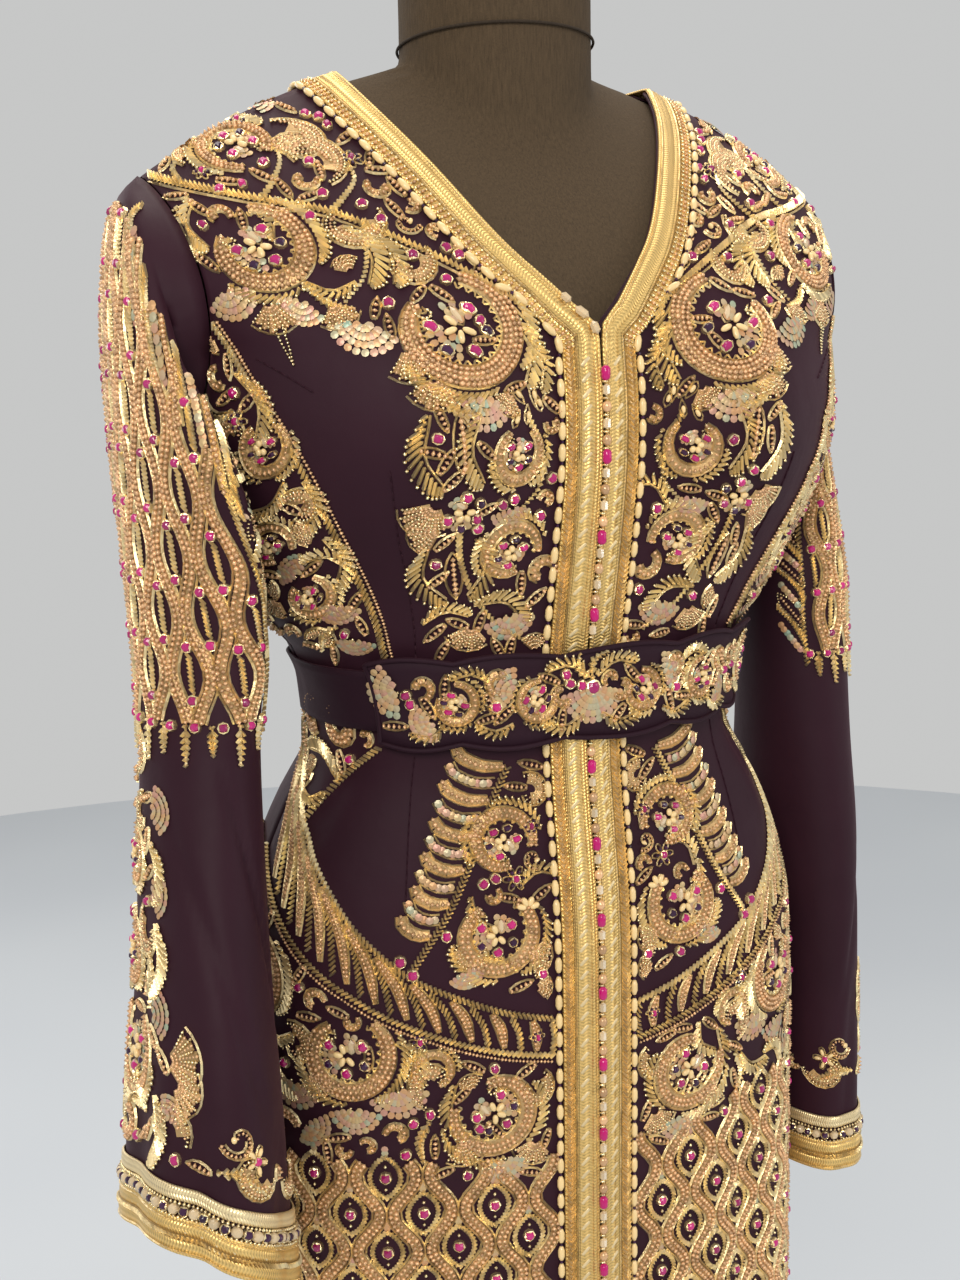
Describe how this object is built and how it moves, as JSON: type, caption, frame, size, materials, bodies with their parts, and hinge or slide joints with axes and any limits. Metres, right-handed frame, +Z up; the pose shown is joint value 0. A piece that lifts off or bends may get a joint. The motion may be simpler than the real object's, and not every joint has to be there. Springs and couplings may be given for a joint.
{
  "type": "moroccan kaftan on a limbless dress form",
  "caption": "Floor-length dark plum kaftan with gold embroidery, braided V neck and front, belt and open sleeves, on a limbless dress form with a pole and round base.",
  "frame": {"origin": "centre of the round base's underside, on the floor under the form's middle", "axes": "+Z up; the garment's front faces -Y; the wearer's left is +X"},
  "size_m": [0.5629, 0.3444, 1.4863],
  "materials": {
    "crepe": "dark plum satin-backed crepe, soft sheen",
    "belt_velvet": "dark plum cloth covered with gold embroidery",
    "gold_braid": "woven metallic gold braid",
    "embroidery": "gold bugle beads, rope and sequins",
    "pink_stone": "faceted pink glass",
    "form_linen": "dark brown linen, matte weave",
    "cap_wood": "satin varnished dark wood",
    "stand_steel": "black powder coat"
  },
  "bodies": {
    "root": {"back": "crepe", "base": "stand_steel", "belt_panel": "belt_velvet", "belt_wrap": "crepe", "button_01": "pink_stone", "button_02": "pink_stone", "button_03": "pink_stone", "button_04": "pink_stone", "button_05": "pink_stone", "button_06": "pink_stone", "button_07": "pink_stone", "button_08": "pink_stone", "button_09": "pink_stone", "button_10": "pink_stone", "button_11": "pink_stone", "button_12": "pink_stone", "button_13": "pink_stone", "button_14": "pink_stone", "button_15": "pink_stone", "button_16": "pink_stone", "button_17": "pink_stone", "button_18": "pink_stone", "button_19": "pink_stone", "button_20": "pink_stone", "button_21": "pink_stone", "button_22": "pink_stone", "button_23": "pink_stone", "button_24": "pink_stone", "button_25": "pink_stone", "cuff_braid_left": "gold_braid", "cuff_braid_right": "gold_braid", "form": "form_linen", "front_band_left": "gold_braid", "front_band_right": "gold_braid", "front_left": "crepe", "front_right": "crepe", "neck_band_left": "gold_braid", "neck_band_right": "gold_braid", "neck_cap": "cap_wood", "pole": "stand_steel", "pole_collar": "stand_steel", "sleeve_left": "crepe", "sleeve_right": "crepe"}
  },
  "joints": []
}
